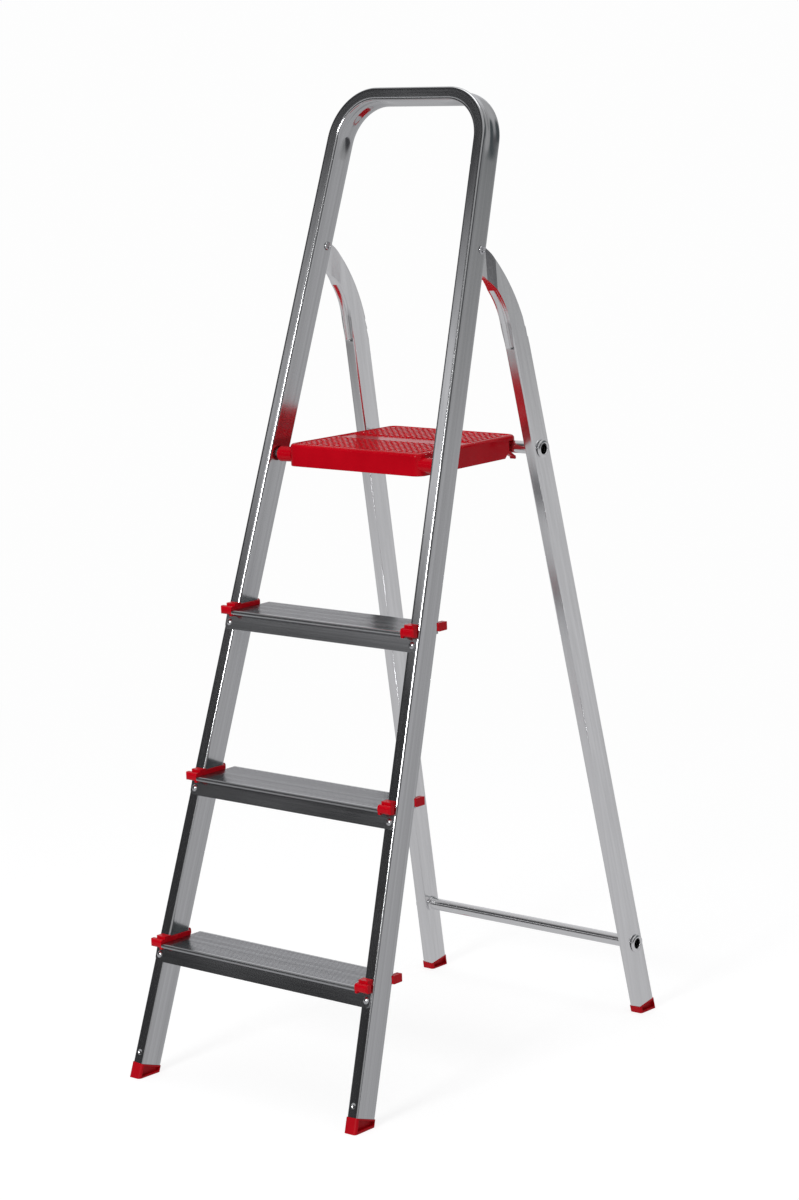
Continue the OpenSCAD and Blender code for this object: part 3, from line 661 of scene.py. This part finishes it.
class LADDER_OT_tread_ends(bpy.types.Operator):
    """Finishes the red pieces at the treads' ends"""

    bl_idname = "ladder.tread_ends"
    bl_label = "Tread ends"

    def execute(self, context):
        for level in TREADS:
            for side in SIDES:
                obj = dress(f"tread_end_{level}_{side}", finish_of("end piece red"))
                soften(obj, 0.0008, 3, 40)
        return {"FINISHED"}


class LADDER_OT_feet(bpy.types.Operator):
    """Finishes the foot caps"""

    bl_idname = "ladder.feet"
    bl_label = "Feet"

    def execute(self, context):
        for end in ("front", "rear"):
            for side in SIDES:
                obj = dress(f"{end}_foot_{side}", finish_of("foot red"))
                soften(obj, 0.0006, 2, 40)
        return {"FINISHED"}


class LADDER_OT_rear_legs(bpy.types.Operator):
    """Finishes the rear legs"""

    bl_idname = "ladder.rear_legs"
    bl_label = "Rear legs"

    def execute(self, context):
        for side in SIDES:
            obj = dress("rear_leg_" + side, finish_of("leg aluminium"))
            soften(obj, 0.0006, 2, 40)
        return {"FINISHED"}


class LADDER_OT_crossbars(bpy.types.Operator):
    """Turns the two crossbars with their rolled ends"""

    bl_idname = "ladder.crossbars"
    bl_label = "Crossbars"

    def execute(self, context):
        for place in ("upper", "lower"):
            name = place + "_crossbar"
            lo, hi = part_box(name)
            half = (hi.x - lo.x) / 2
            flare, bar, bore = (hi.z - lo.z) / 2, BAR_RADIUS, 0.0072
            flare_length, leg_width = 0.0035, 0.0202
            bead = half - flare_length - leg_width
            lip = [(half - 0.0032, bar + 0.0002), (half - 0.0034, flare - 0.0012),
                   (half - 0.0030, flare - 0.0003), (half - 0.0022, flare),
                   (half - 0.0012, flare - 0.0006), (half - 0.0004, flare - 0.0022),
                   (half, flare - 0.0040), (half - 0.0002, bore + 0.0012),
                   (half - 0.0012, bore + 0.0003), (half - flare_length, bore)]
            swell = [(bead - 0.0032, bar), (bead - 0.0026, bar + 0.0012), (bead - 0.0015, bar + 0.0024),
                     (bead - 0.0004, bar + 0.0012), (bead, bar)]
            right = [(0.0, bar), (bead - 0.03, bar)] + swell + lip + [(0.0, bore)]
            left = [(-x, r) for x, r in reversed(right)]
            profile = right[:-1] + [(0.0, bore)] + left[1:-1]
            bm = bmesh.new()
            loft(bm, lathe(profile, (lo + hi) / 2, (1, 0, 0), 48), closed=True)
            outward(bm)
            obj = new_object(name + "_tube", bm, math.radians(50))
            obj.data.materials.append(finish_of("bar aluminium"))
            even_normals(obj)
            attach(obj, REAR)
            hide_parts(name)
        return {"FINISHED"}


class LADDER_OT_rivets(bpy.types.Operator):
    """Makes the hollow pivot rivets and dresses the tread rivets and the platform's pins"""

    bl_idname = "ladder.rivets"
    bl_label = "Rivets and pins"

    def execute(self, context):
        for side in SIDES:
            dress("platform_pin_" + side, finish_of("bright steel"))
            self.pivot("pivot_rivet_" + side)
        for level in TREADS:
            soften(dress("tread_rivets_" + level, finish_of("bright steel")), 0.0002, 1)
        return {"FINISHED"}

    def pivot(self, name):
        """A shank with two rolled heads, each with a pressed well and a small dome in it."""
        lo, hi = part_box(name)
        head_height = 0.003
        base = (hi.x - lo.x) / 2 - head_height
        head = [(base, 0.0040), (base, 0.0062), (base + 0.0006, 0.0062), (base + 0.0015, 0.0056),
                (base + 0.0020, 0.0047), (base + 0.0020, 0.0041), (base + 0.0014, 0.0036),
                (base - 0.0006, 0.0031), (base - 0.0009, 0.0024), (base - 0.0002, 0.0019),
                (base + 0.0007, 0.0013), (base + 0.0010, 0.0006), (base + 0.0010, 0.0001)]
        profile = [(-x, r) for x, r in reversed(head)] + head
        bm = bmesh.new()
        loft(bm, lathe(profile, (lo + hi) / 2, (1, 0, 0), 32))
        outward(bm)
        obj = new_object(name + "_turned", bm, math.radians(60))
        obj.data.materials.append(finish_of("bright steel"))
        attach(obj, FRONT)
        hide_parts(name)


class PlatformPlan:
    """Sizes of the platform, read from its place in the frame."""

    front_width, rear_width, corner = 0.250, 0.237, 0.014
    lip, strip, relief, wall = 0.0077, 0.028, 0.010, 0.003
    bar_gap = 0.0045

    def __init__(self):
        lo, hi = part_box("platform")
        bar_lo, bar_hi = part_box("upper_crossbar")
        self.top, self.front_y, self.side_x = hi.z, lo.y, hi.x
        self.depth, self.skirt = hi.y - lo.y, hi.z - lo.z
        self.skirt_end = (bar_lo.y + bar_hi.y) / 2 - BAR_RADIUS - self.bar_gap - lo.y
        self.mid = self.depth / 2

    def place(self, x, y, z):
        """A point given across, back from the front edge and up from the top."""
        return Vector((x, self.front_y + y, self.top + z))

    def outline(self, inset, depth, rear_width):
        """Rounded plan outline seen from above, anticlockwise, about x = 0, from y = 0 to depth."""
        tilt = math.atan((self.front_width - rear_width) / 2 / depth)
        r = max(0.001, self.corner - inset)
        wide = self.front_width / 2 - inset / math.cos(tilt)
        y0, y1 = inset, depth - inset
        front = wide - (y0 + r) * math.tan(tilt) - r / math.cos(tilt)
        rear = wide - (y1 - r) * math.tan(tilt) - r / math.cos(tilt)
        steps = 8
        spots = []
        corners = ((front, y0 + r, -90), (rear, y1 - r, 0), (-rear, y1 - r, 90), (-front, y0 + r, 180))
        for cx, cy, start in corners:
            for k in range(steps + 1):
                t = math.radians(start + 90 * k / steps)
                spots.append((cx + r * math.cos(t), cy + r * math.sin(t)))
        return spots


class LADDER_OT_platform(bpy.types.Operator):
    """Moulds the studded platform"""

    bl_idname = "ladder.platform"
    bl_label = "Platform"

    def execute(self, context):
        plan = PlatformPlan()
        obj = self.shell(plan)
        tools = (self.lip_tool, self.relief_tool, self.hollow_tool, self.strip_tool)
        cut(obj, [tool(plan) for tool in tools])
        shade(obj, math.radians(35))
        join(obj, [self.studs_and_ribs(plan), self.ears(plan)])
        obj.name = "platform_moulding"
        even_normals(obj)
        obj.data.materials.append(finish_of("platform red"))
        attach(obj, PLATFORM)
        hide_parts("platform")
        soften(dress("latch_fingers", finish_of("platform red")), 0.0003, 2)
        return {"FINISHED"}

    def shell(self, plan):
        """Solid body with a rounded upper edge and a slightly sunk top between the studs."""
        s = sizes()
        edge, steps = s.edge, 6
        levels = [(0.0006, -plan.skirt), (0.0, -plan.skirt + 0.0006), (0, -edge)]
        for k in range(1, steps + 1):
            t = math.pi / 2 * k / steps
            levels.append((edge * (1 - math.cos(t)), -edge + edge * math.sin(t)))
        levels += [(edge + 0.0015, 0), (edge + 0.0022, -s.stud_height)]
        bm = bmesh.new()
        loft(bm, [[plan.place(x, y, z) for x, y in plan.outline(inset, plan.depth, plan.rear_width)]
                  for inset, z in levels])
        outward(bm)
        return new_object("platform_shell", bm)

    def lip_tool(self, plan):
        """Cutter that leaves the thin lip over the crossbar behind the skirt."""
        tool = bmesh.new()
        block(tool, plan.place(-0.2, plan.skirt_end, -0.05), plan.place(0.2, 0.3, -plan.lip))
        return new_object("lip tool", tool)

    def relief_tool(self, plan):
        """Cutter for the slanted lower rear edge of the skirt."""
        back, low, size = plan.skirt_end, -plan.skirt, plan.relief
        prism = [(back - size - 0.001, low - 0.001), (back + 0.0005, low - 0.001),
                 (back + 0.0005, low + size + 0.0005)]
        tool = bmesh.new()
        loft(tool, [[plan.place(x, y, z) for y, z in prism] for x in (-0.2, 0.2)])
        outward(tool)
        return new_object("relief tool", tool)

    def hollow_tool(self, plan):
        """Cutter for the hollow underside."""
        inner = plan.outline(plan.wall, plan.skirt_end - plan.relief, plan.rear_width + 0.001)
        tool = bmesh.new()
        loft(tool, [[plan.place(x, y, z) for x, y in inner] for z in (-plan.skirt - 0.001, -0.004)])
        outward(tool)
        return new_object("hollow tool", tool)

    def strip_tool(self, plan):
        """Cutter for the smooth shallow strip across the top."""
        half_x, half_y = plan.rear_width / 2 - 0.009, plan.strip / 2
        tool = bmesh.new()
        block(tool, plan.place(-half_x, plan.mid - half_y, -0.0016),
              plan.place(half_x, plan.mid + half_y, 0.001))
        return new_object("strip tool", tool)

    def studs_and_ribs(self, plan):
        """Two fields of small square studs on the top, and the ribs in the hollow."""
        s = sizes()
        bm = bmesh.new()
        margin, beside = s.edge + 0.004, plan.strip / 2 + 0.0015
        self.stud_field(bm, plan, margin, plan.mid - beside)
        self.stud_field(bm, plan, plan.mid + beside, plan.depth - margin)
        bottom, under_top = -0.022, -0.0035
        for k in range(1, 6):
            x = -plan.front_width / 2 + k * plan.front_width / 6
            block(bm, plan.place(x - 0.0011, 0.002, bottom),
                  plan.place(x + 0.0011, plan.skirt_end - 0.011, under_top))
        for k in (1, 2):
            y = k * plan.skirt_end / 3
            half_x = plan.rear_width / 2 - 0.002
            block(bm, plan.place(-half_x, y, bottom), plan.place(half_x, y + 0.0022, under_top))
        return new_object("platform_extra", bm, math.radians(30))

    def stud_field(self, bm, plan, y_from, y_to):
        """Rows of studs between two distances from the front edge."""
        s = sizes()
        pitch = s.stud_pitch
        base, crown = pitch * 0.36, pitch * 0.26
        margin = s.edge + 0.004
        rows = int((y_to - y_from) / pitch)
        y_start = (y_from + y_to - (rows - 1) * pitch) / 2
        for j in range(rows):
            y = y_start + j * pitch
            wide = plan.front_width / 2 - (plan.front_width - plan.rear_width) / 2 * y / plan.depth - margin
            inset = max(0.0, plan.corner - s.edge - min(y, plan.depth - y)) * 0.4
            cols = int(2 * (wide - inset) / pitch)
            cols -= (cols + 1) % 2
            for i in range(cols):
                x = (i - (cols - 1) / 2) * pitch
                loft(bm, [[plan.place(x + dx * half, y + dy * half, z)
                           for dx, dy in ((-1, -1), (1, -1), (1, 1), (-1, 1))]
                          for half, z in ((base, -s.stud_height - 0.0002), (crown, 0.0))])

    def ears(self, plan):
        """The two turned bosses that take the platform's pins."""
        end, bore = plan.side_x, 0.0041
        profile = [(end - 0.0265, 0.0105), (end - 0.0008, 0.0110), (end - 0.0002, 0.0107), (end, 0.0102),
                   (end, 0.0060), (end - 0.0006, 0.0052), (end - 0.001, bore), (end - 0.018, bore)]
        bm = bmesh.new()
        for side in (-1, 1):
            loft(bm, lathe(profile, (0, HINGE.y, HINGE.z), (side, 0, 0), 44))
        outward(bm)
        return new_object("platform_ears", bm, math.radians(35))


class LADDER_OT_studio(bpy.types.Operator):
    """Sets up floor, light and camera"""

    bl_idname = "ladder.studio"
    bl_label = "Studio"

    def execute(self, context):
        scene = context.scene
        st = scene.studio
        scene.view_settings.view_transform = "Standard"
        bm = bmesh.new()
        count, reach, below = 96, 15.0, 0.0005
        turns = [2 * math.pi * k / count for k in range(count)]
        bm.faces.new([bm.verts.new((reach * math.cos(t), reach * math.sin(t), -below)) for t in turns])
        floor = new_object("studio_floor", bm)
        floor.data.materials.append(self.floor_finish(tuple(st.floor)))
        self.world(scene)
        self.lamp("key", (0.35, -4.0, 2.2), (0, 0, 0.7), 1.0, 1.0, 75)
        self.lamp("top", (-0.3, 0.3, 4.4), (0, 0, 0.5), 2.5, 2.5, 26)
        cam = bpy.data.objects.new("studio_camera", bpy.data.cameras.new("studio_camera"))
        scene.collection.objects.link(cam)
        cam.data.sensor_width = 36.0
        cam.data.sensor_fit = "AUTO"
        cam.data.lens = st.lens
        cam.data.clip_start = 0.05
        cam.data.clip_end = 200
        cy, sy, cp, sp = math.cos(st.yaw), math.sin(st.yaw), math.cos(st.pitch), math.sin(st.pitch)
        look = Vector((-sy * cp, cy * cp, sp))
        right = Vector((cy, sy, 0))
        up = right.cross(look)
        cr, sr = math.cos(st.roll), math.sin(st.roll)
        right2 = right * cr + up * sr
        up2 = up * cr - right * sr
        turn = Matrix((right2, up2, -look)).transposed().to_4x4()
        cam.matrix_world = Matrix.Translation(Vector(st.stand)) @ turn
        scene.camera = cam
        return {"FINISHED"}

    def floor_finish(self, colour):
        """Pale floor with a faint soft shadow round the feet; the metal mirrors it as a mid grey."""
        n = Nodes("studio floor")
        place = n.add("ShaderNodeTexCoord").outputs["Object"]
        far = n.add("ShaderNodeVectorMath", operation="LENGTH")
        n.link(place, far.inputs[0])
        reach = n.scale_to(far.outputs["Value"], 0.0, 1.0, (0.7, 2.6))
        n.shader.inputs["Base Color"].default_value = (0.30, 0.30, 0.30, 1)
        n.shader.inputs["Roughness"].default_value = 1.0
        n.shader.inputs["Specular IOR Level"].default_value = 0.0
        n.shader.inputs["Emission Color"].default_value = (*colour, 1)
        n.shader.inputs["Emission Strength"].default_value = 1.0
        plain = n.add("ShaderNodeEmission")
        plain.inputs["Color"].default_value = (0.985, 0.985, 0.985, 1)
        seen = n.add("ShaderNodeMixShader")
        n.link(reach, seen.inputs["Fac"])
        n.link(n.shader.outputs[0], seen.inputs[1])
        n.link(plain.outputs[0], seen.inputs[2])
        ahead = n.add("ShaderNodeVectorMath", operation="DOT_PRODUCT")
        n.link(place, ahead.inputs[0])
        ahead.inputs[1].default_value = (-0.68, -0.73, 0.0)
        glow = n.add("ShaderNodeEmission")
        n.link(n.mix(n.scale_to(ahead.outputs["Value"], 0.0, 1.0, (1.8, 3.2)),
                     (0.50, 0.50, 0.51), (0.10, 0.10, 0.10)), glow.inputs["Color"])
        path = n.add("ShaderNodeLightPath")
        mix = n.add("ShaderNodeMixShader")
        n.link(path.outputs["Is Camera Ray"], mix.inputs["Fac"])
        n.link(glow.outputs[0], mix.inputs[1])
        n.link(seen.outputs[0], mix.inputs[2])
        n.link(mix.outputs[0], n.tree.nodes["Material Output"].inputs["Surface"])
        return n.mat

    def lamp(self, name, place, target, width, height, power):
        data = bpy.data.lights.new(name, "AREA")
        data.shape = "RECTANGLE"
        data.size, data.size_y = width, height
        data.energy = power
        obj = bpy.data.objects.new("studio_" + name, data)
        bpy.context.scene.collection.objects.link(obj)
        obj.location = place
        obj.rotation_mode = "QUATERNION"
        obj.rotation_quaternion = (Vector(place) - Vector(target)).to_track_quat("Z", "Y")

    def world(self, scene):
        """Grey studio: pale to the rear left, dark to the right and front left, with one bright patch."""
        world = bpy.data.worlds.new("studio world")
        scene.world = world
        world.use_nodes = True
        tree = world.node_tree
        link = tree.links.new

        def node(kind, *inputs, **values):
            made = tree.nodes.new(kind)
            for key, value in values.items():
                setattr(made, key, value)
            for socket, value in zip(made.inputs, inputs):
                if value is None:
                    continue
                if hasattr(value, "links"):
                    link(value, socket)
                else:
                    socket.default_value = value
            return made

        def fade(value, lo, hi):
            made = node("ShaderNodeMapRange", value, lo, hi, 0.0, 1.0, interpolation_type="SMOOTHSTEP")
            return made.outputs["Result"]

        def lobe(direction, near, far):
            dot = node("ShaderNodeVectorMath", way, Vector(direction).normalized(), operation="DOT_PRODUCT")
            return fade(dot.outputs["Value"], far, near)

        def over(under, fac, colour):
            made = node("ShaderNodeMix", data_type="RGBA")
            link(fac, made.inputs[0])
            link(under, made.inputs[6])
            made.inputs[7].default_value = (*colour, 1)
            return made.outputs[2]

        way = node("ShaderNodeTexCoord").outputs["Generated"]
        parts = node("ShaderNodeSeparateXYZ", way)
        ramp = node("ShaderNodeValToRGB")
        stops = ((0.0, 0.40), (0.50, 0.40), (0.62, 0.36), (0.80, 0.50), (1.0, 0.60))
        while len(ramp.color_ramp.elements) < len(stops):
            ramp.color_ramp.elements.new(0.5)
        for item, (at, value) in zip(ramp.color_ramp.elements, stops):
            item.position = at
            item.color = (value, value, value * 1.01, 1)
        height = node("ShaderNodeMapRange", parts.outputs["Z"], -1.0, 1.0, 0.0, 1.0)
        link(height.outputs["Result"], ramp.inputs["Fac"])
        tone = over(ramp.outputs["Color"], lobe((-0.62, 0.74, 0.20), 0.97, 0.80), (0.70, 0.70, 0.72))
        tone = over(tone, lobe((0.60, 0.74, 0.33), 0.975, 0.93), (0.085, 0.100, 0.105))
        tone = over(tone, lobe((0.95, 0.12, 0.0), 0.93, 0.80), (0.07, 0.07, 0.075))
        tone = over(tone, lobe((-0.70, -0.68, 0.15), 0.86, 0.62), (0.045, 0.045, 0.047))
        back = node("ShaderNodeMath", parts.outputs["Y"], -1.0, operation="MULTIPLY").outputs[0]
        heading = node("ShaderNodeMath", parts.outputs["X"], back, operation="ARCTAN2").outputs[0]
        off = node("ShaderNodeMath", heading, math.radians(37), operation="ADD").outputs[0]
        off = node("ShaderNodeMath", off, operation="ABSOLUTE").outputs[0]
        wide = fade(off, math.radians(13), math.radians(6))
        above, below = fade(parts.outputs["Z"], 0.275, 0.325), fade(parts.outputs["Z"], 0.415, 0.35)
        tall = node("ShaderNodeMath", above, below, operation="MULTIPLY").outputs[0]
        patch = node("ShaderNodeMath", wide, tall, operation="MULTIPLY").outputs[0]
        tone = over(tone, patch, (0.95, 0.95, 0.97))
        light = tree.nodes["Background"]
        link(tone, light.inputs["Color"])
        light.inputs["Strength"].default_value = 1.0
        plain = node("ShaderNodeBackground", (0.985, 0.985, 0.985, 1))
        seen = node("ShaderNodeLightPath").outputs["Is Camera Ray"]
        mix = node("ShaderNodeMixShader", seen, light.outputs[0], plain.outputs[0])
        link(mix.outputs[0], tree.nodes["World Output"].inputs["Surface"])


OPERATORS = (
    LADDER_OT_finishes,
    LADDER_OT_hoop,
    LADDER_OT_treads,
    LADDER_OT_tread_ends,
    LADDER_OT_feet,
    LADDER_OT_rear_legs,
    LADDER_OT_crossbars,
    LADDER_OT_rivets,
    LADDER_OT_platform,
    LADDER_OT_studio,
)


class LADDER_PT_panel(bpy.types.Panel):
    """Lists the ladder's settings and pieces"""

    bl_idname = "LADDER_PT_panel"
    bl_label = "Step Ladder"
    bl_space_type = "VIEW_3D"
    bl_region_type = "UI"
    bl_category = "Ladder"

    def draw(self, context):
        layout = self.layout
        for group in (context.scene.ladder_sizes, context.scene.ladder_colours, context.scene.studio):
            box = layout.box()
            for key in group.__annotations__:
                box.prop(group, key)
        for operator in OPERATORS:
            layout.operator(operator.bl_idname)


GROUPS = (
    ("ladder_sizes", LadderSizes),
    ("ladder_colours", LadderColours),
    ("studio", StudioSettings),
)


def register():
    for name, group in GROUPS:
        bpy.utils.register_class(group)
        setattr(bpy.types.Scene, name, PointerProperty(type=group))
    for item in (*OPERATORS, LADDER_PT_panel):
        bpy.utils.register_class(item)


def unregister():
    for item in (LADDER_PT_panel, *reversed(OPERATORS)):
        bpy.utils.unregister_class(item)
    for name, group in reversed(GROUPS):
        delattr(bpy.types.Scene, name)
        bpy.utils.unregister_class(group)


def main():
    register()
    for operator in OPERATORS:
        area, name = operator.bl_idname.split(".")
        getattr(getattr(bpy.ops, area), name)()


if __name__ == "__main__":
    main()
